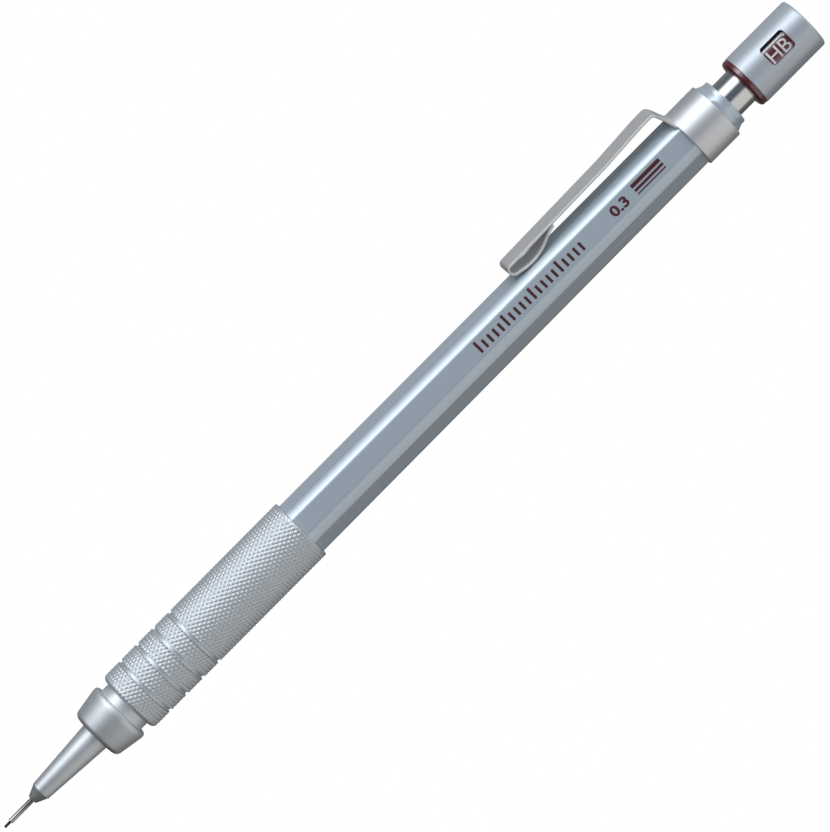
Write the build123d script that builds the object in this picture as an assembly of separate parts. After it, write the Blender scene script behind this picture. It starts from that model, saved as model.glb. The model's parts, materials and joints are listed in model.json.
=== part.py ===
from build123d import *
from math import acos, atan2, cos, degrees, hypot, radians, sin, tan
import os

# Mechanical drafting pencil for 0.3 mm leads, lying on a table. Millimetres.
# +X runs from the tip to the push cap, along the pencil's axis. The origin is on that axis, at
# the open end of the guide pipe. Everything is drawn with the clip towards +Y, and export() then
# rolls it about the axis until the grip and one edge of the clip lie on the table.

# ---- driving dimensions ----
length = 149.0  # from the end of the guide pipe to the end of the cap
lead_radius = 0.19
slip = 0.02  # radial clearance of a piece that slides on the lead
running = 0.07  # radial clearance of the larger sliding fits
hairline = 0.02  # gap between faces that only rest on each other
push_travel = 2.6
ring_travel = 0.65  # the clutch ring stops early, and the jaws go on and open
jaw_opening = 1.2  # degrees

# tip
pipe_radius = 0.37
pipe_length = 4.1
pipe_seat_radius = 0.55  # of the thicker part that is pressed into the bush
bush_front_radius = 0.66
bush_rear_radius = 1.345
bush_stem_radius = 0.95
cone_start = 5.62
cone_front_radius = 1.425
cone_rear_radius = 2.14
collar_start = 16.02
collar_end = 20.76
collar_front_radius = 3.85
collar_radius = 4.49
collar_lip = 1.15
nose_core_radius = 2.45
nose_thread_radius = 2.95
nose_end = 30.0

# grip and barrel
neck_radius = 3.65
grip_start = 22.09
grip_end = 54.57
grip_radius = 4.74
groove_positions = [25.36, 28.45, 31.50, 34.50]
groove_width = 0.5
groove_depth = 0.3
joint_end = 36.0
spigot_radius = 3.2
spigot_end = 41.0
shank_radius = 3.8
barrel_radius_front = 4.16  # of the round strips left between the barrel's six flats
barrel_radius_rear = 4.04
flat_angle = 39.5  # degrees round the barrel that each flat takes
barrel_bore = 2.9
sleeve_start = 44.8
sleeve_end = 60.0
tail_start = 127.03  # where the clip's band begins
tail_slope = 23.0  # degrees
tail_slope_end = 133.53
tail_end_radius = 3.6
barrel_end = 134.21
end_bore_start = 130.0

# clip
band_length = 5.46
band_radius = 4.405
band_clearance = 0.03
strap_width = 3.21
strap_thickness = 0.35
strap_end = 125.75
strap_rise = 6.93  # the strap's centre line above the axis, at the bend
foot_half_angle = 36.5  # degrees round the band

# clutch
jaw_front = 20.95
jaw_rear = 27.0
jaw_head_radius = 1.30
jaw_arm_radius = 0.85
jaw_taper = 10.0  # degrees
jaw_grip_length = 2.0
jaw_slot = 0.35
jaw_count = 3
clutch_ring_start = 21.05
clutch_ring_length = 2.3
clutch_ring_radius = 1.93
collet_bore = 0.5
collet_radius = 1.2
collet_end = 46.0
spring_radius = 1.85  # of the coil's centre line
spring_wire = 0.35
spring_turns = 10
lead_tube_start = 42.0
lead_tube_end = 128.0
lead_tube_radius = 2.2
lead_tube_bore = 1.6

# cap
ferrule_start = 121.0
ferrule_end = 147.6
ferrule_radius = 2.71
stop_gap = 0.36  # left between the grade sleeve and the barrel when the cap is pressed home
grade_start = barrel_end + push_travel + stop_gap
grade_flange_radius = 3.75
grade_flange_length = 0.94
grade_radius = 3.43
grade_end = 146.3
cap_start = grade_start + grade_flange_length
cap_radius = 3.95
cap_bore = 3.5
cap_hub_start = 146.4
cap_end_wall = 0.8
window_start = 141.56
window_length = 4.13
window_width = 3.02
window_corner = 0.5
window_angle = 61.0  # degrees from the clip

# leads
lead_length = 60.0
lead_shown = 1.06
spare_lead_start = 62.0
spare_lead_gap = 0.03

solids = {}


def turned(points, rounds=()):
    """A solid of revolution from (x, radius) points, with some corners rounded."""
    face = make_face(Polyline(*points, close=True))
    for index, radius in rounds:
        corner = face.vertices().sort_by_distance(Vector(*points[index]))[0]
        face = fillet(corner, radius)
    return revolve(face, Axis.X)


def tube(start, end, outer, inner, rounds=()):
    corners = [(start, inner), (start, outer), (end, outer), (end, inner)]
    return turned(corners, rounds)


def rod(start, end, radius, rounds=()):
    return tube(start, end, radius, 0, rounds)


def make_tip():
    bush_rear = 9.0
    pipe_rear = 7.5
    lead_bore = lead_radius + slip
    root = pipe_seat_radius - pipe_radius
    solids["guide_pipe"] = turned(
        [
            (0, lead_bore),
            (0, pipe_radius),
            (pipe_length - root, pipe_radius),
            (pipe_length, pipe_seat_radius),
            (pipe_rear, pipe_seat_radius),
            (pipe_rear, lead_bore),
        ]
    )
    solids["front_bush"] = turned(
        [
            (pipe_length, pipe_seat_radius),
            (pipe_length, bush_front_radius),
            (cone_start, bush_rear_radius),
            (cone_start, bush_stem_radius),
            (bush_rear, bush_stem_radius),
            (bush_rear, lead_bore + slip),
            (pipe_rear, lead_bore + slip),
            (pipe_rear, pipe_seat_radius),
        ]
    )
    retainer_radius = 1.1
    retainer_start = 9.1
    retainer_end = 12.3
    lead_passage = 0.4
    pocket_start = 18.0
    jaw_reach = (jaw_rear - jaw_front) * tan(radians(jaw_opening))
    pocket_radius = jaw_head_radius + jaw_reach + 2 * running
    chamber_radius = clutch_ring_radius + running
    chamber_start = clutch_ring_start - ring_travel - hairline
    seat_start = clutch_ring_start + clutch_ring_length + hairline
    shoulder = collar_start + collar_lip
    solids["nose_cone"] = turned(
        [
            (cone_start, bush_stem_radius),
            (cone_start, cone_front_radius),
            (collar_start, cone_rear_radius),
            (shoulder, cone_rear_radius),
            (shoulder, nose_core_radius),
            (seat_start, nose_core_radius),
            (seat_start, chamber_radius),
            (chamber_start, chamber_radius),
            (chamber_start, pocket_radius),
            (pocket_start, pocket_radius),
            (pocket_start, lead_passage),
            (retainer_end, lead_passage),
            (retainer_end, retainer_radius),
            (retainer_start, retainer_radius),
            (retainer_start, bush_stem_radius),
        ],
        [(1, 0.12)],
    )
    solids["lead_retainer"] = tube(retainer_start, retainer_end, retainer_radius, lead_bore)
    solids["nose_collar"] = turned(
        [
            (collar_start, cone_rear_radius),
            (collar_start, collar_front_radius),
            (collar_end - 0.8, collar_radius),
            (collar_end, collar_radius),
            (collar_end, nose_thread_radius),
            (nose_end, nose_thread_radius),
            (nose_end, nose_core_radius),
            (shoulder, nose_core_radius),
            (shoulder, cone_rear_radius),
        ],
        [(1, 0.75), (3, 0.4)],
    )
    seat_bore = collet_radius + running
    solids["chuck_seat"] = tube(seat_start, nose_end, nose_core_radius, seat_bore)


def make_grip():
    spring_chamber = 2.6
    solids["neck_joint"] = turned(
        [
            (collar_end, nose_thread_radius),
            (collar_end, neck_radius),
            (joint_end, neck_radius),
            (joint_end, spigot_radius),
            (spigot_end, spigot_radius),
            (spigot_end, spring_chamber),
            (nose_end, spring_chamber),
            (nose_end, nose_thread_radius),
        ]
    )
    sleeve = turned(
        [
            (grip_start, neck_radius),
            (grip_start, grip_radius),
            (grip_end, grip_radius),
            (grip_end, shank_radius),
            (joint_end, shank_radius),
            (joint_end, neck_radius),
        ],
        [(1, 0.7), (2, 0.2)],
    )
    for x in groove_positions:
        start = x - groove_width / 2
        sleeve -= tube(start, start + groove_width, grip_radius + 1, grip_radius - groove_depth)
    solids["grip_sleeve"] = sleeve


def barrel_section(x, radius):
    """The barrel's section: a disc with six equal flats."""
    plane = Plane((x, 0, 0), x_dir=(0, 1, 0), z_dir=(1, 0, 0))
    flat_height = radius * cos(radians(flat_angle / 2))
    return plane * (Circle(radius) & RegularPolygon(flat_height, 6, major_radius=False, rotation=30))


def make_barrel():
    front = barrel_section(grip_end, barrel_radius_front)
    rear = barrel_section(tail_start, barrel_radius_rear)
    body = loft([front, rear], ruled=True)
    body += rod(joint_end, grip_end, shank_radius)
    blank = extrude(rear, barrel_end - tail_start)
    beyond = barrel_radius_rear + 1
    slope_start = tail_slope_end - (beyond - tail_end_radius) / tan(radians(tail_slope))
    body += blank & turned(
        [
            (tail_start - 1, 0),
            (tail_start - 1, beyond),
            (slope_start, beyond),
            (tail_slope_end, tail_end_radius),
            (barrel_end, tail_end_radius),
            (barrel_end, 0),
        ],
        [(4, 0.15)],
    )
    end_bore = ferrule_radius + running
    body -= turned(
        [
            (joint_end - 1, 0),
            (joint_end - 1, spigot_radius),
            (sleeve_end, spigot_radius),
            (sleeve_end, barrel_bore),
            (end_bore_start, barrel_bore),
            (end_bore_start, end_bore),
            (barrel_end + 1, end_bore),
            (barrel_end + 1, 0),
        ]
    )
    solids["barrel"] = body
    guide_bore = lead_tube_radius + running
    solids["mechanism_sleeve"] = tube(sleeve_start, sleeve_end, spigot_radius, guide_bore)


def make_clip():
    """A band round the barrel's tail, and a strap that rises from it and curls back at its end."""
    bore = barrel_radius_rear + band_clearance
    band = tube(tail_start, tail_start + band_length, band_radius, bore, [(1, 0.1), (2, 0.1)])
    solids["clip_band"] = band

    # the strap's centre line, as (x, distance from the axis), from the curl's end to the bend
    curl_front = 97.87
    path = FilletPolyline(
        (106.35, 5.87),
        (105.25, 5.58),
        (101.8, 3.72),
        (curl_front, 4.90),
        (curl_front, 6.10),
        (116.5, 6.45),
        (123.6, 6.91),
        (strap_end + 0.3, strap_rise),
        radius=[1.5, 4.6, 0.75, 0.6, 20.0, 12.0],
    )
    strap = extrude(trace(path, line_width=strap_thickness), strap_width / 2, both=True)
    top = strap_rise + strap_thickness / 2
    leg_height = 0.95
    leg_top = Plane((strap_end, top - leg_height / 2, 0), x_dir=(0, 1, 0), z_dir=(1, 0, 0))
    foot = Plane((tail_start - hairline * 2, 0, 0), x_dir=(0, 1, 0), z_dir=(1, 0, 0))
    ring = Circle(band_radius) - Circle(barrel_radius_rear + band_clearance)
    wedge_reach = band_radius * 2
    half = radians(foot_half_angle)
    wedge = make_face(
        Polyline(
            (0, 0),
            (wedge_reach * cos(half), wedge_reach * sin(half)),
            (wedge_reach * cos(half), -wedge_reach * sin(half)),
            close=True,
        )
    )
    leg = loft([leg_top * Rectangle(leg_height, strap_width), foot * (ring & wedge)], ruled=True)
    strap += leg
    cut = Pos(strap_end + 2, top, 0) * Box(4, 4, 10, align=(Align.MIN, Align.CENTER, Align.CENTER))
    solids["clip_strap"] = strap - cut


def make_clutch():
    taper = tan(radians(jaw_taper))
    ring_end = clutch_ring_start + clutch_ring_length
    head_end = jaw_front + (jaw_head_radius - jaw_arm_radius) / taper
    grip_bore = lead_radius + slip / 2
    relief = 0.45
    jaws = turned(
        [
            (jaw_front, grip_bore),
            (jaw_front, jaw_head_radius),
            (head_end, jaw_arm_radius),
            (jaw_rear, jaw_arm_radius),
            (jaw_rear, relief),
            (jaw_front + jaw_grip_length, relief),
            (jaw_front + jaw_grip_length, grip_bore),
        ],
        [(1, 0.2)],
    )
    reach = 2 * jaw_head_radius
    middle = (jaw_front + jaw_rear) / 2
    for number in range(jaw_count):
        direction = 360 / jaw_count * number
        piece = jaws
        for side in (-1, 1):
            # everything past the slot beside this jaw is cut away
            waste = Box(20, reach * 4, reach * 2, align=(Align.CENTER, Align.CENTER, Align.MIN))
            waste = Pos(middle, 0, -jaw_slot / 2) * waste
            piece = piece - Rot(X=direction + side * 180 / jaw_count) * (
                waste if side > 0 else mirror(waste, Plane.XY)
            )
        solids["jaw_" + str(number + 1)] = piece
    fit = slip / 2
    solids["clutch_ring"] = turned(
        [
            (clutch_ring_start, jaw_head_radius - (clutch_ring_start - jaw_front) * taper + fit),
            (clutch_ring_start, clutch_ring_radius),
            (ring_end, clutch_ring_radius),
            (ring_end, jaw_head_radius - (ring_end - jaw_front) * taper + fit),
        ]
    )
    neck_end = 28.0
    solids["collet"] = turned(
        [
            (jaw_rear + hairline * 1.5, collet_bore),
            (jaw_rear + hairline * 1.5, jaw_arm_radius),
            (neck_end, jaw_arm_radius),
            (neck_end, collet_radius),
            (collet_end, collet_radius),
            (collet_end, collet_bore),
        ]
    )
    wire = spring_wire / 2
    coil_start = nose_end + wire + hairline
    coil_length = lead_tube_start - nose_end - 2 * wire - 2 * hairline
    helix = Helix(coil_length / spring_turns, coil_length, spring_radius)
    coil = sweep(Plane(helix @ 0, z_dir=helix % 0) * Circle(wire), path=helix)
    solids["return_spring"] = Pos(coil_start, 0, 0) * Rot(Y=90) * coil
    solids["lead_tube"] = turned(
        [
            (lead_tube_start, collet_radius),
            (lead_tube_start, lead_tube_radius),
            (lead_tube_end, lead_tube_radius),
            (lead_tube_end, lead_tube_bore),
            (collet_end, lead_tube_bore),
            (collet_end, collet_radius),
        ]
    )


def make_cap():
    solids["ferrule"] = tube(
        ferrule_start, ferrule_end, ferrule_radius, lead_tube_radius, [(2, 0.1)]
    )
    eraser_start = 139.0
    eraser_end = length - cap_end_wall - 0.15
    pin_radius = 0.15
    pin_start = 130.0
    pin_held = 5.0
    eraser = rod(eraser_start, eraser_end, lead_tube_radius - slip, [(2, 0.2)])
    pin = rod(pin_start, eraser_start + pin_held, pin_radius)
    solids["eraser"] = eraser - pin
    solids["cleaning_pin"] = pin
    solids["grade_sleeve"] = turned(
        [
            (grade_start, ferrule_radius + running),
            (grade_start, grade_flange_radius),
            (cap_start - hairline, grade_flange_radius),
            (cap_start - hairline, grade_radius),
            (grade_end, grade_radius),
            (grade_end, ferrule_radius + running),
        ],
        [(1, 0.5)],
    )
    hub_bore = ferrule_radius + slip
    cap = turned(
        [
            (cap_start, cap_bore),
            (cap_start, cap_radius),
            (length, cap_radius),
            (length, 0),
            (length - cap_end_wall, 0),
            (length - cap_end_wall, hub_bore),
            (cap_hub_start, hub_bore),
            (cap_hub_start, cap_bore),
        ],
        [(2, 0.2)],
    )
    opening = RectangleRounded(window_length, window_width, window_corner)
    window = Pos(window_start + window_length / 2, 0, 0) * extrude(opening, cap_radius + 1)
    solids["push_cap"] = cap - Rot(X=window_angle - 90) * window


def make_leads():
    front = -lead_shown
    solids["lead"] = rod(front, front + lead_length, lead_radius, [(1, 0.06)])
    spares = []
    floor_radius = lead_tube_bore - lead_radius - spare_lead_gap
    step = degrees((2 * lead_radius + spare_lead_gap) / floor_radius)
    down = -90 - roll()
    for number in range(6):
        angle = radians(down + (number - 2.5) * step)
        place = Pos(0, floor_radius * cos(angle), floor_radius * sin(angle))
        spares.append(place * rod(spare_lead_start, spare_lead_start + lead_length * 0.98, lead_radius))
    solids["spare_leads"] = Compound(spares)


def roll():
    """Degrees about +X that lay the clip's edge on the table that the grip lies on."""
    height = strap_rise + strap_thickness / 2
    reach = hypot(height, strap_width / 2)
    edge = degrees(atan2(strap_width / 2, height))
    return degrees(acos(grip_radius / reach)) + edge - 90


def export():
    os.makedirs("parts", exist_ok=True)
    for name, solid in solids.items():
        export_step(Rot(X=roll()) * solid, "parts/" + name + ".step")


make_tip()
make_grip()
make_barrel()
make_clip()
make_clutch()
make_cap()
make_leads()
export()
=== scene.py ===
import json
import math

import bmesh
import bpy
from mathutils import Matrix, Vector


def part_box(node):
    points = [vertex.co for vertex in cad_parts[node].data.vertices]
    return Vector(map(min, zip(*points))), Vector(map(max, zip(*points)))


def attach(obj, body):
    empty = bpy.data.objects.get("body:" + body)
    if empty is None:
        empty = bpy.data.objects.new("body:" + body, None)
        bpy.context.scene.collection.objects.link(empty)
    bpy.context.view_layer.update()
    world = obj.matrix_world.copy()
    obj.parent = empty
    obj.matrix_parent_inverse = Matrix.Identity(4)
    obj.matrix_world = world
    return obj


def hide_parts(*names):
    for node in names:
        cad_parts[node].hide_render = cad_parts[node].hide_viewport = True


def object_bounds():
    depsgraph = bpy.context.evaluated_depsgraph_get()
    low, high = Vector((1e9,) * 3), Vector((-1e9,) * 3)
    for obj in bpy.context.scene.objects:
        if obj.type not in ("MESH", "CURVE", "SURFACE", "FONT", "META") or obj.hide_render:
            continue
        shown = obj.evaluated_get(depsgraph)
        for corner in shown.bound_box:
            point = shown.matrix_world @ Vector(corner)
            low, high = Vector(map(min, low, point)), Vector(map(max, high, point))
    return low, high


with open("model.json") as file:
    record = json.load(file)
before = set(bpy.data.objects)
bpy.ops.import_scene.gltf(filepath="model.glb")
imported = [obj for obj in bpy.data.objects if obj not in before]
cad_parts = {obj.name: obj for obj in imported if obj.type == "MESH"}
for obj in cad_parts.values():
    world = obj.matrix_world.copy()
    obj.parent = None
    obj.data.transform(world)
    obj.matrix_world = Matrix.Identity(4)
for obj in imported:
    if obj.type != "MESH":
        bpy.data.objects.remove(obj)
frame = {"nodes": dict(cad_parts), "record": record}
cad_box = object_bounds()

# Every shape below is drawn in millimetres on the pencil's own axis, as (x, distance from the
# axis, angle round it), and point() puts it into the frame. Angle 0 is the clip's side and
# FACET is the flat beside it, which carries the print and the cap's window.
MM = 0.001
ALONG = Vector((1, 0, 0))
mounts = {m["name"]: m for m in frame["record"]["mounts"]}
CLIP_SIDE = Vector(mounts["pocket_clip"]["axis"]).normalized()
QUARTER_ON = ALONG.cross(CLIP_SIDE)
FACET = 60.0
WINDOW_SIDE = 61.0
FLAT_ANGLE = 39.5  # degrees round the barrel that each of its six flats takes
SEGMENTS = 180


def radial(angle):
    a = math.radians(angle)
    return CLIP_SIDE * math.cos(a) + QUARTER_ON * math.sin(a)


def point(x, radius, angle):
    return (ALONG * x + radial(angle) * radius) * MM


def ends(node):
    low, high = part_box(node)
    return low.x / MM, high.x / MM


def reach(node):
    """A round node's outer radius."""
    low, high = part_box(node)
    return (high.z - low.z) / 2 / MM


# ---------------------------------------------------------------- mesh helpers


def rounded(corners, steps=6):
    """The outline through (x, r) or (x, r, fillet) corners, with each fillet as an arc."""
    outline = []
    count = len(corners)
    for i, corner in enumerate(corners):
        here = Vector(corner[:2])
        fillet = corner[2] if len(corner) > 2 else 0
        if not fillet:
            outline.append(tuple(here))
            continue
        back = (Vector(corners[i - 1][:2]) - here).normalized()
        ahead = (Vector(corners[(i + 1) % count][:2]) - here).normalized()
        half = back.angle(ahead) / 2
        start = here + back * (fillet / math.tan(half))
        centre = here + (back + ahead).normalized() * (fillet / math.sin(half))
        sweep = math.pi - 2 * half
        turn = 1 if (start - centre).cross(-back) > 0 else -1
        for step in range(steps + 1):
            spoke = (start - centre).copy()
            spoke.rotate(Matrix.Rotation(turn * sweep * step / steps, 2))
            outline.append(tuple(centre + spoke))
    return outline


def finish_mesh(name, verts, faces, sharp=35):
    mesh = bpy.data.meshes.new(name)
    mesh.from_pydata(verts, [], faces)
    made = bmesh.new()
    made.from_mesh(mesh)
    bmesh.ops.remove_doubles(made, verts=made.verts, dist=1e-8)
    bmesh.ops.recalc_face_normals(made, faces=made.faces)
    made.to_mesh(mesh)
    made.free()
    mesh.shade_smooth()
    mesh.set_sharp_from_angle(angle=math.radians(sharp))
    piece = bpy.data.objects.new(name, mesh)
    bpy.context.scene.collection.objects.link(piece)
    return piece


def stack(name, rings, sharp=35, closed=True):
    """A skin through rings of equally many points, where a ring of one point is a pole."""
    verts = []
    starts = []
    for ring in rings:
        starts.append(len(verts))
        verts.extend(ring)
    faces = []
    pairs = len(rings) if closed else len(rings) - 1
    for i in range(pairs):
        k = (i + 1) % len(rings)
        a, b = rings[i], rings[k]
        sides = max(len(a), len(b))
        if sides == 1:
            continue
        for j in range(sides):
            n = (j + 1) % sides
            corners = [
                starts[i] + (j if len(a) > 1 else 0),
                starts[i] + (n if len(a) > 1 else 0),
                starts[k] + (n if len(b) > 1 else 0),
                starts[k] + (j if len(b) > 1 else 0),
            ]
            faces.append(list(dict.fromkeys(corners)))
    return finish_mesh(name, verts, faces, sharp)


def circle(x, radius, angles):
    if radius < 1e-6:
        return [point(x, 0, 0)]
    return [point(x, radius, angle) for angle in angles]


def lathe(name, corners, segments=SEGMENTS, sharp=35):
    angles = [360 * j / segments for j in range(segments)]
    return stack(name, [circle(x, r, angles) for x, r in rounded(corners)], sharp)


def place(piece, body, material, node=None):
    piece.data.materials.clear()
    piece.data.materials.append(material)
    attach(piece, body)
    if node:
        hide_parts(node)
    return piece


# ---------------------------------------------------------------- materials


def new_material(name):
    material = bpy.data.materials.new(name)
    material.use_nodes = True
    tree = material.node_tree
    shader = tree.nodes["Principled BSDF"]
    coords = tree.nodes.new("ShaderNodeTexCoord")
    return material, tree, shader, coords.outputs["Object"]


def stretched(tree, source, scale):
    mapping = tree.nodes.new("ShaderNodeMapping")
    mapping.inputs["Scale"].default_value = scale
    tree.links.new(source, mapping.inputs["Vector"])
    return mapping.outputs["Vector"]


def noise(tree, vector, scale=1.0, detail=4.0):
    node = tree.nodes.new("ShaderNodeTexNoise")
    node.inputs["Scale"].default_value = scale
    node.inputs["Detail"].default_value = detail
    tree.links.new(vector, node.inputs["Vector"])
    return node.outputs["Fac"]


def spread(tree, value, low, high):
    node = tree.nodes.new("ShaderNodeMapRange")
    node.inputs["From Min"].default_value = 0.3
    node.inputs["From Max"].default_value = 0.7
    node.inputs["To Min"].default_value = low
    node.inputs["To Max"].default_value = high
    tree.links.new(value, node.inputs["Value"])
    return node.outputs["Result"]


def tinted(tree, factor, dark, light):
    node = tree.nodes.new("ShaderNodeMix")
    node.data_type = "RGBA"
    node.inputs["A"].default_value = (*dark, 1)
    node.inputs["B"].default_value = (*light, 1)
    tree.links.new(factor, node.inputs["Factor"])
    return node.outputs["Result"]


def bumped(tree, shader, height, distance):
    node = tree.nodes.new("ShaderNodeBump")
    node.inputs["Strength"].default_value = 1.0
    node.inputs["Distance"].default_value = distance
    tree.links.new(height, node.inputs["Height"])
    tree.links.new(node.outputs["Normal"], shader.inputs["Normal"])


def surface(
    name,
    dark,
    light,
    rough,
    metallic,
    grain=(3000, 3000, 3000),
    grain_height=0.0,
    coat=0.0,
    coat_ior=1.5,
):
    """A finish whose colour and roughness wander a little, with a fine grain in its surface."""
    material, tree, shader, where = new_material(name)
    wander = noise(tree, where, 900, 3)
    fine = noise(tree, stretched(tree, where, grain), 1.0, 5)
    tree.links.new(tinted(tree, wander, dark, light), shader.inputs["Base Color"])
    tree.links.new(spread(tree, fine, *rough), shader.inputs["Roughness"])
    shader.inputs["Metallic"].default_value = metallic
    shader.inputs["Coat Weight"].default_value = coat
    shader.inputs["Coat IOR"].default_value = coat_ior
    shader.inputs["Coat Roughness"].default_value = 0.1
    if grain_height:
        bumped(tree, shader, fine, grain_height)
    return material


TURNED = (60000, 900, 900)  # fine marks that run round the axis
DRAWN = (900, 40000, 40000)  # fine marks that run along the axis
SPRAYED = (9000, 9000, 9000)  # the fine grain of a paint

silver_paint = surface(
    "silver_paint", (0.70, 0.80, 0.895), (0.73, 0.83, 0.925), (0.25, 0.27), 0.40, SPRAYED, 2e-8
)
cap_silver = surface(
    "cap_silver", (0.69, 0.755, 0.83), (0.72, 0.785, 0.86), (0.33, 0.35), 0.36, SPRAYED, 2e-8
)
turned_metal = surface(
    "turned_metal", (0.88, 0.92, 0.955), (0.91, 0.95, 0.985), (0.47, 0.53), 0.82, TURNED, 4e-7
)
knurled_metal = surface(
    "knurled_metal", (0.78, 0.83, 0.87), (0.82, 0.87, 0.91), (0.39, 0.47), 0.56, grain_height=3e-7
)
neck_metal = surface(
    "neck_metal", (0.95, 0.98, 1.0), (0.97, 0.99, 1.0), (0.42, 0.48), 0.66, TURNED, 4e-7
)
chrome = surface("chrome", (0.86, 0.86, 0.86), (0.90, 0.90, 0.90), (0.03, 0.06), 1.0, DRAWN, 1e-7)
pipe_steel = surface(
    "pipe_steel", (0.62, 0.62, 0.62), (0.70, 0.70, 0.70), (0.15, 0.25), 1.0, DRAWN, 3e-7
)
bush_metal = surface(
    "bush_metal", (0.34, 0.37, 0.36), (0.40, 0.43, 0.42), (0.42, 0.50), 0.3, TURNED, 5e-7
)
clip_steel = surface(
    "clip_steel", (0.91, 0.90, 0.89), (0.95, 0.94, 0.93), (0.36, 0.42), 0.5, DRAWN, 3e-7
)
band_steel = surface(
    "band_steel", (0.93, 0.95, 0.975), (0.96, 0.98, 1.0), (0.42, 0.48), 0.8, TURNED, 3e-7
)
maroon_gloss = surface(
    "maroon_gloss",
    (0.135, 0.010, 0.017),
    (0.165, 0.013, 0.022),
    (0.3, 0.4),
    0.0,
    coat=1.0,
    coat_ior=1.95,
)
print_maroon = surface(
    "print_maroon", (0.085, 0.010, 0.018), (0.10, 0.013, 0.022), (0.45, 0.55), 0.0
)
# Near-black used only for a band of painted shade on the grade sleeve, standing in for the shadow
# in the window's recess.
painted_shade_black = surface("painted_shade_black", (0.012, 0.01, 0.012), (0.02, 0.016, 0.02), (0.5, 0.6), 0.0)
print_white = surface("print_white", (0.93, 0.93, 0.93), (0.97, 0.97, 0.97), (0.4, 0.5), 0.0)
brass = surface("brass", (0.60, 0.44, 0.20), (0.70, 0.52, 0.26), (0.22, 0.34), 1.0, TURNED, 5e-7)
spring_steel = surface(
    "spring_steel", (0.50, 0.50, 0.52), (0.60, 0.60, 0.62), (0.2, 0.3), 1.0, grain_height=2e-7
)
black_plastic = surface(
    "black_plastic", (0.02, 0.02, 0.022), (0.03, 0.03, 0.033), (0.4, 0.5), 0.0, grain_height=8e-7
)
black_rubber = surface(
    "black_rubber", (0.02, 0.02, 0.02), (0.03, 0.03, 0.03), (0.7, 0.85), 0.0, grain_height=2e-6
)
eraser_rubber = surface(
    "eraser_rubber", (0.78, 0.78, 0.75), (0.86, 0.86, 0.83), (0.65, 0.8), 0.0, grain_height=3e-6
)
graphite = surface(
    "graphite", (0.035, 0.035, 0.038), (0.06, 0.06, 0.064), (0.35, 0.5), 0.5, grain_height=1e-6
)

INNER_FINISHES = {
    "lead_retainer": black_rubber,
    "chuck_seat": brass,
    "mechanism_sleeve": brass,
    "clutch_ring": brass,
    "jaw_1": brass,
    "jaw_2": brass,
    "jaw_3": brass,
    "collet": brass,
    "return_spring": spring_steel,
    "cleaning_pin": spring_steel,
    "lead_tube": black_plastic,
    "eraser": eraser_rubber,
    "spare_leads": graphite,
}
for node, finish in INNER_FINISHES.items():
    data = frame["nodes"][node].data
    data.materials.clear()
    data.materials.append(finish)


# ---------------------------------------------------------------- tip

COLLAR_START, NOSE_END = ends("nose_collar")
NECK_START, NECK_END = ends("neck_joint")
COLLAR_R = reach("nose_collar")
NECK_R = 3.65
CONE_START, CONE_END = ends("nose_cone")
CONE_FRONT_R = 1.415
CONE_REAR_R = 2.14
LEAD_R = reach("lead")
PIPE_START, PIPE_END = ends("guide_pipe")
PIPE_R = 0.37
BUSH_START, BUSH_END = ends("front_bush")
PIPE_SEAT_R = 0.55  # the pipe's thicker rear end, held in the bush
STEM_R = 0.93  # the bush's stem, in the cone's front bore
NOSE_CORE_R = 2.4  # the cone's long rear part, in the collar
THREAD_R = 2.95  # where the collar screws into the joint
GAP = 0.01  # left between pieces that touch


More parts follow.
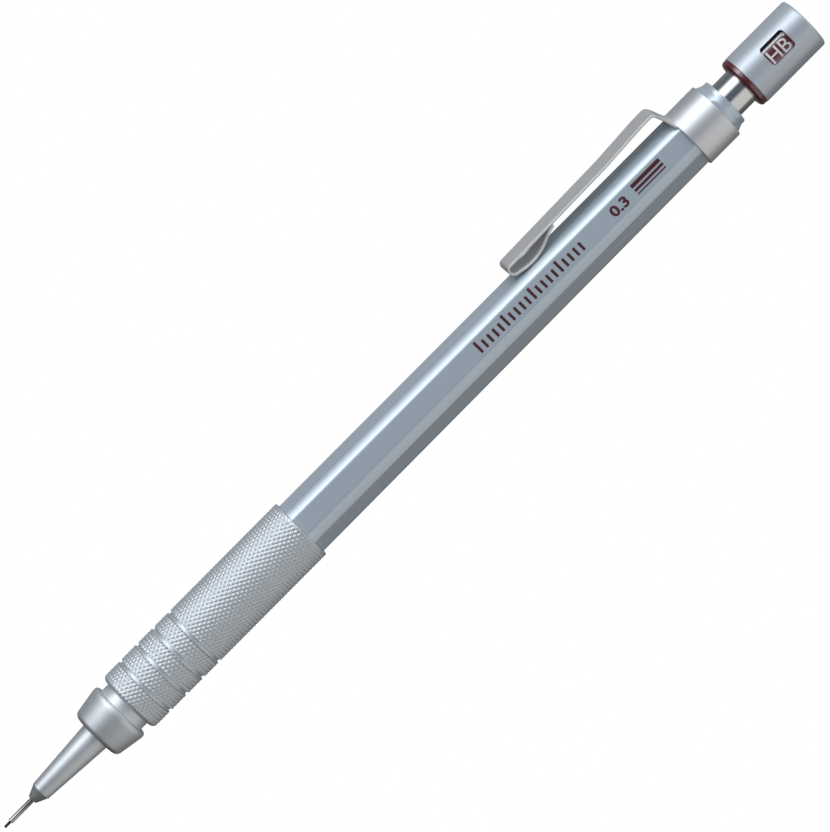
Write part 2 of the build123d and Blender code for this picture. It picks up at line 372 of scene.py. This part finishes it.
def make_tip():
    bore = LEAD_R + 0.02
    pipe = lathe(
        "guide_pipe_tube",
        [
            (PIPE_START, bore, 0.02),
            (PIPE_START, PIPE_R, 0.06),
            (BUSH_START - 0.1, PIPE_R),
            (BUSH_START, PIPE_R + 0.06),
            (BUSH_START, PIPE_SEAT_R),
            (PIPE_END, PIPE_SEAT_R),
            (PIPE_END, bore),
        ],
        segments=72,
    )
    place(pipe, "barrel", pipe_steel, "guide_pipe")
    lead_way = 0.23
    bush = lathe(
        "front_bush_step",
        [
            (BUSH_START, PIPE_R + 0.07),
            (BUSH_START, 0.66, 0.05),
            (CONE_START, 1.345, 0.03),
            (CONE_START, STEM_R),
            (BUSH_END, STEM_R),
            (BUSH_END, lead_way),
            (PIPE_END, lead_way),
            (PIPE_END, PIPE_SEAT_R + GAP),
            (BUSH_START + 0.1, PIPE_SEAT_R + GAP),
        ],
        segments=96,
    )
    place(bush, "barrel", bush_metal, "front_bush")
    skirt = COLLAR_START + 1.1
    clutch_start, clutch_r = 18.1, 1.72
    seat_start, seat_r = CONE_END - 3.0, 2.02
    retainer_start, retainer_end, retainer_r = 9.05, 12.35, 1.12
    channel_r = 0.42
    stem_bore = STEM_R + 0.03
    cone = lathe(
        "nose_cone_shell",
        [
            (CONE_START, stem_bore),
            (CONE_START, CONE_FRONT_R, 0.10),
            (COLLAR_START, CONE_REAR_R),
            (skirt, CONE_REAR_R),
            (skirt, NOSE_CORE_R),
            (CONE_END, NOSE_CORE_R),
            (CONE_END, seat_r),
            (seat_start, seat_r),
            (seat_start, clutch_r),
            (clutch_start, clutch_r),
            (clutch_start, channel_r),
            (retainer_end, channel_r),
            (retainer_end, retainer_r),
            (retainer_start, retainer_r),
            (retainer_start, stem_bore),
        ],
    )
    place(cone, "barrel", turned_metal, "nose_cone")
    collar_bore = NOSE_CORE_R + 0.06
    collar = lathe(
        "nose_collar_shell",
        [
            (COLLAR_START, CONE_REAR_R + GAP),
            (COLLAR_START, 3.84, 0.85),
            (NECK_START - 0.8, COLLAR_R, 1.5),
            (NECK_START, COLLAR_R, 0.42),
            (NECK_START, THREAD_R - GAP),
            (NOSE_END, THREAD_R - GAP),
            (NOSE_END, collar_bore),
            (skirt + 0.05, collar_bore),
            (skirt + 0.05, CONE_REAR_R + GAP),
        ],
    )
    place(collar, "barrel", turned_metal, "nose_collar")
    lead_start, lead_end = ends("lead")
    lead = lathe(
        "lead_core",
        [(lead_start, 0), (lead_start, LEAD_R, 0.05), (lead_end, LEAD_R), (lead_end, 0)],
        segments=48,
    )
    place(lead, "lead", graphite, "lead")


# ---------------------------------------------------------------- grip

GRIP_START, GRIP_END = ends("grip_sleeve")
GRIP_R = reach("grip_sleeve")
GRIP_FRONT_EDGE = 0.7
GRIP_REAR_EDGE = 0.2
GRIP_BORE = 3.82
JOINT_END = 36.0  # of the joint's wide part, inside the grip
GROOVES = [25.36, 28.45, 31.50, 34.50]
GROOVE_WIDTH = 0.52
GROOVE_DEPTH = 0.3
GROOVE_EDGE = 0.08
KNURL_STARTS = 50  # V grooves round the grip, in each of the two crossing sets
KNURL_PITCH = 1.06  # between them along the axis
KNURL_DEPTH = 0.17
KNURL_SAMPLES = 6  # points across one diamond, along the axis and round it
KNURL_FLAT = 0.12  # the share of each diamond's top that is left flat


def quarter_drop(fillet, along):
    """How far a quarter-round edge has dropped at this distance from its end."""
    return fillet - math.sqrt(max(0, fillet**2 - (fillet - along) ** 2))


def grip_radius(x):
    """The sleeve's radius before knurling, and how much of the knurl stands there."""
    front = x - GRIP_START
    rear = GRIP_END - x
    base = GRIP_R
    if front < GRIP_FRONT_EDGE:
        base = GRIP_R - quarter_drop(GRIP_FRONT_EDGE, front)
    if rear < GRIP_REAR_EDGE:
        base = GRIP_R - quarter_drop(GRIP_REAR_EDGE, rear)
    show = min(1, front / 0.8, rear / 0.5)
    for groove in GROOVES:
        off = abs(x - groove) - GROOVE_WIDTH / 2
        if off < 0:
            return base - GROOVE_DEPTH, 0
        if off < GROOVE_EDGE:
            base -= quarter_drop(GROOVE_EDGE, off)
        show = min(show, off / 0.12)
    return base, max(0, show)


def knurl(x, angle):
    """How deep the two crossing sets of V grooves cut, from 0 on a diamond's top to 1."""
    turn = KNURL_STARTS * angle / 360
    deepest = 0
    for hand in (1, -1):
        phase = (turn + hand * (x - GRIP_START) / KNURL_PITCH) % 1
        deepest = max(deepest, 1 - 2 * min(phase, 1 - phase))
    return min(1, max(0, (1 + KNURL_FLAT) * deepest - KNURL_FLAT))


def make_grip():
    step = KNURL_PITCH / KNURL_SAMPLES
    count = int((GRIP_END - GRIP_START) / step)
    stations = [GRIP_START + step * i for i in range(1, count)]
    for groove in GROOVES:
        low, high = groove - GROOVE_WIDTH / 2, groove + GROOVE_WIDTH / 2
        stations = [x for x in stations if not low - 0.15 < x < high + 0.15]
        for offset in (0.12, 0.08, 0.05, 0.025, 0.001, -0.001, -0.15):
            stations += [low - offset, high + offset]
    for offset in (0.0, 0.02, 0.07):
        stations += [GRIP_START + offset, GRIP_END - offset]
    stations = sorted(stations)
    around = KNURL_STARTS * KNURL_SAMPLES
    angles = [360 * j / around for j in range(around)]
    rings = []
    for x in stations:
        base, show = grip_radius(x)
        depth = KNURL_DEPTH * show
        rings.append([point(x, base - depth * knurl(x, a), a) for a in angles])
    joint_bore = NECK_R + 0.02
    bore = [(GRIP_END, GRIP_BORE), (JOINT_END, GRIP_BORE)]
    bore += [(JOINT_END, joint_bore), (GRIP_START, joint_bore)]
    rings += [circle(x, r, angles) for x, r in bore]
    grip = stack("grip_knurled", rings, sharp=60)
    place(grip, "barrel", knurled_metal, "grip_sleeve")


def make_neck():
    spigot_r, spigot_bore = 3.2, 2.62
    neck = lathe(
        "neck_ring",
        [
            (NECK_START, THREAD_R + 0.02),
            (NECK_START, NECK_R, 0.05),
            (JOINT_END, NECK_R),
            (JOINT_END, spigot_r),
            (NECK_END, spigot_r),
            (NECK_END, spigot_bore),
            (NOSE_END, spigot_bore),
            (NOSE_END, THREAD_R + 0.02),
        ],
    )
    place(neck, "barrel", neck_metal, "neck_joint")


# ---------------------------------------------------------------- barrel

BARREL_START, BARREL_END = ends("barrel")
FRONT_R = 4.16
REAR_R = 4.04
BAND_START, BAND_END = ends("clip_band")
BAND_R = reach("clip_band")
TAIL_SLOPE = math.tan(math.radians(23))
TAIL_SLOPE_END = 133.53
TAIL_END_R = 3.6
TAIL_EDGE = 0.15


def barrel_radius(x):
    return FRONT_R + min(1, (x - GRIP_END) / (BAND_START - GRIP_END)) * (REAR_R - FRONT_R)


def flat_height(x):
    """The flats' distance from the axis."""
    return barrel_radius(x) * math.cos(math.radians(FLAT_ANGLE / 2))


def tail_radius(x):
    """What the tail is turned down to: a cone, then a short rim with a rounded edge."""
    rim = TAIL_END_R
    if x > BARREL_END - TAIL_EDGE:
        rim -= quarter_drop(TAIL_EDGE, max(0, BARREL_END - x))
    return rim + max(0, TAIL_SLOPE_END - x) * TAIL_SLOPE


def barrel_angles():
    half = FLAT_ANGLE / 2
    soft = 3.5  # degrees over which an edge of a flat is softened
    flat = [-half, -half + soft, -9, -3, 3, 9, half - soft]
    strip = [half + (60 - FLAT_ANGLE) * i / 10 for i in range(10)]
    return [side * 60 + angle for side in range(6) for angle in flat + strip]


def barrel_section(x, angles):
    """A disc with six equal flats."""
    ring = []
    for angle in angles:
        off = (angle + 30) % 60 - 30
        cut = flat_height(x) / math.cos(math.radians(off))
        ring.append(point(x, min(barrel_radius(x), cut, tail_radius(x)), angle))
    return ring


def make_barrel():
    angles = barrel_angles()
    front = GRIP_END + 0.03
    stations = [front, BAND_START]
    cone_start = TAIL_SLOPE_END - (REAR_R - TAIL_END_R) / TAIL_SLOPE
    cone_steps = 24
    stations += [
        cone_start + (TAIL_SLOPE_END - cone_start) * i / cone_steps for i in range(cone_steps + 1)
    ]
    stations += [BARREL_END - TAIL_EDGE * (1 - math.sin(math.radians(15 * i))) for i in range(7)]
    rear_bore, tube_bore, sleeve_bore = 2.8, 2.92, 3.22
    tube_end, sleeve_end = 130.0, 60.0
    shank_r = GRIP_BORE - 0.04
    bore = rounded(
        [
            (BARREL_END, rear_bore, 0.08),
            (tube_end, rear_bore),
            (tube_end, tube_bore),
            (sleeve_end, tube_bore),
            (sleeve_end, sleeve_bore),
            (BARREL_START, sleeve_bore),
            (BARREL_START, shank_r),
            (front, shank_r),
        ]
    )
    rings = [barrel_section(x, angles) for x in stations]
    rings += [circle(x, r, angles) for x, r in bore]
    barrel = stack("barrel_shell", rings, sharp=30)
    place(barrel, "barrel", silver_paint, "barrel")


# ---------------------------------------------------------------- clip

STRAP_WIDTH = 3.21
STRAP_THICK = 0.35
STRAP_EDGE = 0.07  # how far the strip's corners are broken
STRAP_TOP = 6.93
LEG_TOP = STRAP_TOP - 0.25  # below this height the strip widens towards its foot
LEG_FRONT = 120.0
FOOT_HALF_ANGLE = 36.5
BAND_BORE = REAR_R + 0.03

# (x, height, fillet) along the middle of the strip, from the end of its curl to its foot
STRAP_PATH = [
    (106.35, 5.87),
    (105.25, 5.58, 1.5),
    (101.8, 3.92, 6.4),
    (97.87, 4.75, 0.9),
    (97.87, 6.10, 0.6),
    (116.5, 6.45, 20.0),
    (123.6, 6.91, 12.0),
    (125.72, STRAP_TOP, 0.75),
    (126.98, 4.24),
]


def strap_line():
    path = [Vector(p) for p in rounded(STRAP_PATH, steps=10)]
    line = []
    for a, b in zip(path, path[1:]):
        parts = max(1, round((b - a).length / 0.35))
        line += [a.lerp(b, part / parts) for part in range(parts)]
    return [*line, path[-1]]


def strap_ring(here, heading, foot):
    """The strip's section at a point of its line. Near the foot it wraps round the band."""
    share = 0
    if here.x > LEG_FRONT and here.y < LEG_TOP:
        share = (LEG_TOP - here.y) / (LEG_TOP - foot.y)
    share = share * share * (3 - 2 * share)
    wrap = math.radians(FOOT_HALF_ANGLE)
    half_width = STRAP_WIDTH / 2 + share * (foot.y * math.sin(wrap) - STRAP_WIDTH / 2)
    half_thick = STRAP_THICK / 2
    inset = 1 - STRAP_EDGE / half_width
    across = [-1 + 2 * i / 12 for i in range(13)]
    outline = [(q * inset, half_thick) for q in across]
    outline += [(1, half_thick - STRAP_EDGE), (1, STRAP_EDGE - half_thick)]
    outline += [(q * inset, -half_thick) for q in reversed(across)]
    outline += [(-1, STRAP_EDGE - half_thick), (-1, half_thick - STRAP_EDGE)]
    normal = Vector((-heading.y, heading.x))
    ring = []
    for q, thick in outline:
        sag = foot.y * (1 - math.cos(wrap * share * q))
        spot = here + normal * thick
        side = QUARTER_ON * half_width * q
        ring.append((ALONG * spot.x + CLIP_SIDE * (spot.y - sag) + side) * MM)
    return ring


def strap_end(ring):
    """The two rings that close the strip's end, the inner one a point."""
    middle = sum(ring, Vector((0, 0, 0))) / len(ring)
    return [middle + (p - middle) * 0.6 for p in ring], [middle]


def make_clip():
    band = lathe(
        "clip_band_ring",
        [
            (BAND_START, BAND_BORE, 0.03),
            (BAND_START, BAND_R, 0.12),
            (BAND_END, BAND_R, 0.12),
            (BAND_END, BAND_BORE, 0.03),
        ],
    )
    place(band, "barrel", band_steel, "clip_band")
    line = strap_line()
    rings = []
    for i, here in enumerate(line):
        before = line[max(0, i - 1)]
        after = line[min(len(line) - 1, i + 1)]
        rings.append(strap_ring(here, (after - before).normalized(), line[-1]))
    inner, first = strap_end(rings[0])
    outer, last = strap_end(rings[-1])
    rings = [first, inner, *rings, outer, last]
    strap = stack("clip_strap_spring", rings, sharp=50, closed=False)
    place(strap, "clip", clip_steel, "clip_strap")


# ---------------------------------------------------------------- cap

CAP_START, CAP_END = ends("push_cap")
CAP_R = reach("push_cap")
GRADE_START, GRADE_END = ends("grade_sleeve")
FLANGE_R = 3.87
GRADE_R = 3.43
FERRULE_START, FERRULE_END = ends("ferrule")
FERRULE_R = reach("ferrule")
CAP_BORE = 3.5
CAP_EDGE = 0.38
WINDOW_START = 141.66
WINDOW_LENGTH = 4.13
WINDOW_WIDTH = 3.02
WINDOW_CORNER = 0.5


def window_lines():
    """(offset across the window, where it starts along x, where it ends), edge to edge."""
    half = WINDOW_WIDTH / 2
    straight = half - WINDOW_CORNER
    turns = [math.radians(90 - 10 * i) for i in range(9)]
    lines = []
    for t in turns:
        lines.append((-straight - WINDOW_CORNER * math.sin(t), WINDOW_CORNER * (1 - math.cos(t))))
    lines += [(-straight + 2 * straight * i / 12, 0) for i in range(13)]
    lines += [(-y, inset) for y, inset in reversed(lines[:9])]
    end = WINDOW_START + WINDOW_LENGTH
    return [(y, WINDOW_START + inset, end - inset) for y, inset in lines]


def cap_shell():
    """The cap's shell, with its window cut straight through towards the axis."""
    across = window_lines()
    count = len(across)
    far = 150  # lines round the rest of the cap

    def line_angles(radius):
        angles = [math.degrees(math.asin(y / radius)) for y, _, _ in across]
        first, last = angles[0], angles[-1]
        gap = 360 - (last - first)
        angles += [last + gap * i / (far + 1) for i in range(1, far + 1)]
        return [WINDOW_SIDE - angle for angle in angles]

    outer, inner = line_angles(CAP_R), line_angles(CAP_BORE)
    hub_r, hub_start = 2.73, 146.4
    wall = CAP_END - 0.8
    steps = [math.radians(15 * i) for i in range(7)]
    round_end = [
        (CAP_END - CAP_EDGE * (1 - math.sin(t)), CAP_R - CAP_EDGE * (1 - math.cos(t)), outer)
        for t in steps
    ]
    profile = [
        (CAP_START, CAP_BORE, inner),
        (CAP_START, CAP_R - 0.04, outer),
        (CAP_START + 0.04, CAP_R, outer),
        *round_end,
        (CAP_END, 0, outer),
        (wall, 0, inner),
        (wall, hub_r, inner),
        (hub_start, hub_r, inner),
        (hub_start, CAP_BORE, inner),
    ]
    verts, rings = [], []
    for x, radius, angles in profile:
        start = len(verts)
        verts += circle(x, radius, angles)
        rings.append([start + (i if radius else 0) for i in range(count + far)])
    holes = {}
    for key, radius, angles in (("outer", CAP_R, outer), ("inner", CAP_BORE, inner)):
        start = len(verts)
        for (_, low, high), angle in zip(across, angles):
            verts += [point(low, radius, angle), point(high, radius, angle)]
        holes[key] = start
    windowed = {2: "outer", len(profile) - 1: "inner"}
    faces = []
    for i, ring in enumerate(rings):
        after = rings[(i + 1) % len(rings)]
        for j in range(count + far):
            n = (j + 1) % (count + far)
            if i not in windowed or j >= count - 1:
                face = [ring[j], ring[n], after[n], after[j]]
                if i in windowed and j in (count - 1, count + far - 1):
                    # the strip beside the window also takes the two ends of its straight side
                    edge = holes[windowed[i]] + 2 * (0 if n == 0 else count - 1)
                    low, high = (edge, edge + 1) if i == 2 else (edge + 1, edge)
                    if n == 0:
                        face = [ring[j], ring[n], low, high, after[n], after[j]]
                    else:
                        face = [ring[j], ring[n], after[n], after[j], high, low]
                faces.append(list(dict.fromkeys(face)))
                continue
            start = holes[windowed[i]] + 2 * j
            near, other = (0, 1) if i == 2 else (1, 0)
            faces.append([ring[j], ring[n], start + 2 + near, start + near])
            faces.append([start + other, start + 2 + other, after[n], after[j]])
    loop = [2 * j for j in range(count)] + [2 * j + 1 for j in reversed(range(count))]
    for a, b in zip(loop, loop[1:] + loop[:1]):
        a_in, b_in = holes["inner"] + a, holes["inner"] + b
        faces.append([holes["outer"] + a, holes["outer"] + b, b_in, a_in])
    faces = [face for face in faces if len(face) > 2]
    return finish_mesh("push_cap_shell", verts, faces)


def make_cap():
    place(cap_shell(), "cap", cap_silver, "push_cap")
    sleeve_bore = FERRULE_R + 0.07
    flange_end = CAP_START - 0.02
    sleeve = lathe(
        "grade_sleeve_shell",
        [
            (GRADE_START, sleeve_bore, 0.05),
            (GRADE_START, FLANGE_R, 0.5),
            (flange_end, FLANGE_R, 0.04),
            (flange_end, GRADE_R),
            (GRADE_END, GRADE_R),
            (GRADE_END, sleeve_bore),
        ],
    )
    place(sleeve, "grade_sleeve", maroon_gloss, "grade_sleeve")
    ferrule_bore = 2.2
    ferrule = lathe(
        "ferrule_tube",
        [
            (FERRULE_START, ferrule_bore),
            (FERRULE_START, FERRULE_R),
            (FERRULE_END, FERRULE_R, 0.12),
            (FERRULE_END, ferrule_bore, 0.05),
        ],
    )
    place(ferrule, "plunger", chrome, "ferrule")


# ---------------------------------------------------------------- print

INK = 0.012  # the ink's thickness
SCALE_START = 88.0  # of the twenty ticks, 1 mm apart
LINES_SPAN = (117.1, 122.3)


def letters(text, height, centre, weight=0.0, widen=1.0):
    """A text's mesh as (vertices, faces), in millimetres about the centre given."""
    curve = bpy.data.curves.new("letters", "FONT")
    curve.body = text
    curve.offset = weight
    curve.extrude = 0.5
    curve.resolution_u = 6
    holder = bpy.data.objects.new("letters", curve)
    bpy.context.scene.collection.objects.link(holder)
    bpy.context.view_layer.update()
    mesh = bpy.data.meshes.new_from_object(holder)
    bpy.data.objects.remove(holder)
    ys = [v.co.y for v in mesh.vertices]
    xs = [v.co.x for v in mesh.vertices]
    scale = height / (max(ys) - min(ys))
    mid_x, mid_y = (max(xs) + min(xs)) / 2, (max(ys) + min(ys)) / 2
    cut = bmesh.new()
    cut.from_mesh(mesh)
    bands = 14  # the letters are cut across so that they can follow a round surface
    for i in range(1, bands):
        y = min(ys) + (max(ys) - min(ys)) * i / bands
        everything = [*cut.verts, *cut.edges, *cut.faces]
        bmesh.ops.bisect_plane(cut, geom=everything, plane_co=(0, y, 0), plane_no=(0, 1, 0))
    cut.verts.index_update()
    verts = [
        (
            centre[0] + (v.co.x - mid_x) * scale * widen,
            centre[1] + (v.co.y - mid_y) * scale,
            v.co.z + 0.5,
        )
        for v in cut.verts
    ]
    faces = [[v.index for v in face.verts] for face in cut.faces]
    cut.free()
    return verts, faces


def stroke(path, width):
    """A line of ink along (x, y) points, as (vertices, faces)."""
    verts, faces = [], []
    for i, here in enumerate(path):
        before, after = path[max(0, i - 1)], path[min(len(path) - 1, i + 1)]
        heading = Vector((after[0] - before[0], after[1] - before[1])).normalized()
        side = Vector((-heading.y, heading.x)) * width / 2
        for lift in (0, 1):
            verts += [(here[0] + side.x, here[1] + side.y, lift)]
            verts += [(here[0] - side.x, here[1] - side.y, lift)]
    for i in range(len(path) - 1):
        a, b = 4 * i, 4 * i + 4
        faces += [[a, a + 1, b + 1, b], [a + 2, b + 2, b + 3, a + 3]]
        faces += [[a, b, b + 2, a + 2], [a + 1, a + 3, b + 3, b + 1]]
    last = 4 * len(path) - 4
    faces += [[0, 2, 3, 1], [last, last + 1, last + 3, last + 2]]
    return verts, faces


def bar(x0, x1, y0, y1, parts=1):
    """A printed bar as (vertices, faces), cut across so that it can follow a curve."""
    verts = []
    faces = []
    for part in range(parts + 1):
        y = y0 + (y1 - y0) * part / parts
        verts += [(x0, y, 0), (x1, y, 0), (x1, y, 1), (x0, y, 1)]
    for part in range(parts):
        a = part * 4
        for k in range(4):
            faces.append([a + k, a + (k + 1) % 4, a + 4 + (k + 1) % 4, a + 4 + k])
    faces += [[3, 2, 1, 0], [parts * 4 + k for k in range(4)]]
    return verts, faces


def on_facet(x, y, lift):
    out, side = radial(FACET), radial(FACET - 90)
    return (ALONG * x + side * y + out * (flat_height(x) + lift * INK)) * MM


def on_sleeve(x, y, lift):
    return point(x, GRADE_R + lift * INK, WINDOW_SIDE - math.degrees(y / GRADE_R))


def printed(name, shapes, surface_point, body, material):
    verts, faces = [], []
    for shape_verts, shape_faces in shapes:
        start = len(verts)
        verts += [surface_point(*v) for v in shape_verts]
        faces += [[start + i for i in face] for face in shape_faces]
    piece = finish_mesh(name, verts, faces)
    return place(piece, body, material)


def make_barrel_print():
    ticks = []
    for tick in range(20):
        x = SCALE_START + tick
        top = 0.95 if tick % 5 == 0 else 0.45
        ticks.append(bar(x - 0.2, x + 0.2, -0.85, top))
    printed("print_scale", ticks, on_facet, "barrel", print_maroon)
    size = letters("0.3", 1.52, (114.2, -0.05), weight=0.035, widen=1.24)
    printed("print_lead_size", [size], on_facet, "barrel", print_maroon)
    lines = []
    for y, width in ((0.62, 0.55), (-0.1, 0.38), (-0.66, 0.2)):
        lines.append(bar(*LINES_SPAN, y - width / 2, y + width / 2))
    printed("print_line_widths", lines, on_facet, "barrel", print_maroon)


def make_grade_print():
    """The grade with a line over it that bends down at its end, and beyond it a near-black band
    of painted shade where the sleeve's recess lies in shadow.
    """
    middle = WINDOW_START + WINDOW_LENGTH / 2
    low, high = middle - 2.2, middle + 2.2
    grade = letters("HB", 1.91, (middle - 0.04, -0.38), weight=0.004, widen=1.03)
    turn = [math.radians(15 * i) for i in range(7)]
    bend = [(middle + 1.35 + 0.45 * math.sin(t), 0.55 + 0.35 * math.cos(t)) for t in turn]
    border = stroke([(low, 0.9), *bend], 0.28)
    printed("grade_letters", [grade, border], on_sleeve, "grade_sleeve", print_white)
    # A near-black band of painted shade beyond the border, put where the window's recess lies in
    # shadow.
    painted_shade_band = bar(low, high, 1.1, 1.75, parts=6)
    printed("grade_painted_shade", [painted_shade_band], on_sleeve, "grade_sleeve", painted_shade_black)


make_tip()
make_neck()
make_grip()
make_barrel()
make_clip()
make_cap()
make_barrel_print()
make_grade_print()


# ---------------------------------------------------------------- light, floor and camera

CAMERA_ANGLE = 63.5  # round the pencil from the clip's side
CAMERA_ROLL = 45.2  # between the picture's horizontal and the pencil
LENS = 220.0
FRAME_SIDE_PX = 832
PX_PER_MM = 7.562
AIM_ALONG = 1.77  # the picture's middle is this far behind the pencil's
AIM_ASIDE = -0.164


def make_camera():
    towards = radial(CAMERA_ANGLE)
    aside = towards.cross(ALONG)
    roll = math.radians(CAMERA_ROLL)
    right = ALONG * math.cos(roll) - aside * math.sin(roll)
    up = ALONG * math.sin(roll) + aside * math.cos(roll)
    data = bpy.data.cameras.new("camera")
    data.sensor_width = 36.0
    data.lens = LENS
    distance = LENS / data.sensor_width * FRAME_SIDE_PX / PX_PER_MM
    data.clip_start, data.clip_end = 0.01, 10
    middle = (cad_box[0].x + cad_box[1].x) / 2 / MM
    aim = ALONG * (middle + AIM_ALONG) + aside * AIM_ASIDE
    camera = bpy.data.objects.new("camera", data)
    place_at = (aim + towards * distance) * MM
    turn = Matrix((right, up, towards)).transposed().to_4x4()
    camera.matrix_world = Matrix.Translation(place_at) @ turn
    bpy.context.scene.collection.objects.link(camera)
    bpy.context.scene.camera = camera


# The studio's soft light as bands round the pencil's axis: degrees up from +Y, brightness, and
# how blue it is. Its strength also changes along the axis, from the tip's side to the cap's.
BRIGHTEST = 3.0
STUDIO = [
    (-180, 0.09, 0.0),
    (-144, 0.10, 0.1),
    (-114, 0.20, 0.3),
    (-90, 0.17, 0.4),
    (-60, 0.12, 0.4),
    (-46, 0.22, 0.3),
    (-38, 0.55, 0.2),
    (-30, 1.6, 0.2),
    (-20, 2.2, 0.2),
    (-15, 3.0, 0.2),
    (-8, 3.0, 0.2),
    (-3, 1.5, 0.2),
    (7, 1.1, 0.3),
    (13, 0.45, 0.6),
    (20, 0.12, 1.0),
    (50, 0.11, 1.0),
    (58, 0.30, 0.2),
    (67, 0.58, -0.15),
    (130, 0.56, -0.15),
    (141, 0.16, -0.1),
    (162, 0.09, 0.0),
    (180, 0.09, 0.0),
]
ALONG_AXIS = [(-1.0, 0.03), (-0.7, 0.06), (-0.5, 0.3), (-0.3, 0.9), (0.3, 1.04), (0.8, 0.8)]
ALONG_PEAK = 1.2
BLUE = (0.84, 1.0, 1.18)


def fill_ramp(ramp, stops):
    """Sets a colour ramp's stops from (position, colour) pairs."""
    elements = ramp.color_ramp.elements
    while len(elements) > 1:
        elements.remove(elements[-1])
    for i, (position, colour) in enumerate(stops):
        element = elements[0] if i == 0 else elements.new(position)
        element.position = position
        element.color = (*colour, 1)


def make_world():
    world = bpy.data.worlds.new("studio")
    world.use_nodes = True
    bpy.context.scene.world = world
    tree = world.node_tree
    tree.nodes.clear()

    def add(kind, **values):
        node = tree.nodes.new(kind)
        for key, value in values.items():
            setattr(node, key, value)
        return node

    def span(value, low, high):
        node = add("ShaderNodeMapRange")
        node.inputs["From Min"].default_value = low
        node.inputs["From Max"].default_value = high
        tree.links.new(value, node.inputs["Value"])
        return node.outputs["Result"]

    coords = add("ShaderNodeTexCoord")
    split = add("ShaderNodeSeparateXYZ")
    tree.links.new(coords.outputs["Generated"], split.inputs["Vector"])
    angle = add("ShaderNodeMath", operation="ARCTAN2")
    tree.links.new(split.outputs["Z"], angle.inputs[0])
    tree.links.new(split.outputs["Y"], angle.inputs[1])
    around = add("ShaderNodeValToRGB")
    stops = []
    for degrees, level, blue in STUDIO:
        tone = level / BRIGHTEST
        colour = [tone * (1 + blue * (channel - 1)) for channel in BLUE]
        stops.append(((degrees + 180) / 360, colour))
    fill_ramp(around, stops)
    tree.links.new(span(angle.outputs[0], -math.pi, math.pi), around.inputs["Fac"])
    along = add("ShaderNodeValToRGB")
    fill_ramp(along, [((x + 1) / 2, [level / ALONG_PEAK] * 3) for x, level in ALONG_AXIS])
    tree.links.new(span(split.outputs["X"], -1, 1), along.inputs["Fac"])
    product = add("ShaderNodeMix", data_type="RGBA", blend_type="MULTIPLY")
    product.inputs["Factor"].default_value = 1
    tree.links.new(around.outputs["Color"], product.inputs["A"])
    tree.links.new(along.outputs["Color"], product.inputs["B"])
    light = add("ShaderNodeBackground")
    light.inputs["Strength"].default_value = BRIGHTEST * ALONG_PEAK
    tree.links.new(product.outputs["Result"], light.inputs["Color"])
    seen = add("ShaderNodeBackground")
    seen.inputs["Color"].default_value = (1, 1, 1, 1)
    rays = add("ShaderNodeLightPath")
    choose = add("ShaderNodeMixShader")
    tree.links.new(rays.outputs["Is Camera Ray"], choose.inputs["Fac"])
    tree.links.new(light.outputs[0], choose.inputs[1])
    tree.links.new(seen.outputs[0], choose.inputs[2])
    output = add("ShaderNodeOutputWorld")
    tree.links.new(choose.outputs[0], output.inputs["Surface"])


def make_floor():
    material = bpy.data.materials.new("floor_white")
    material.use_nodes = True
    tree = material.node_tree
    tree.nodes.clear()
    glow = tree.nodes.new("ShaderNodeEmission")
    glow.inputs["Color"].default_value = (1, 1, 1, 1)
    output = tree.nodes.new("ShaderNodeOutputMaterial")
    tree.links.new(glow.outputs[0], output.inputs["Surface"])
    side = 2.0
    low = cad_box[0].z
    corners = [(-side, -side, low), (side, -side, low), (side, side, low), (-side, side, low)]
    mesh = bpy.data.meshes.new("floor")
    mesh.from_pydata(corners, [], [(0, 1, 2, 3)])
    mesh.materials.append(material)
    floor = bpy.data.objects.new("floor", mesh)
    bpy.context.scene.collection.objects.link(floor)
    floor.visible_diffuse = False
    floor.visible_glossy = False
    floor.visible_transmission = False
    floor.visible_shadow = False


make_camera()
make_world()
make_floor()
bpy.context.scene.view_settings.view_transform = "Standard"
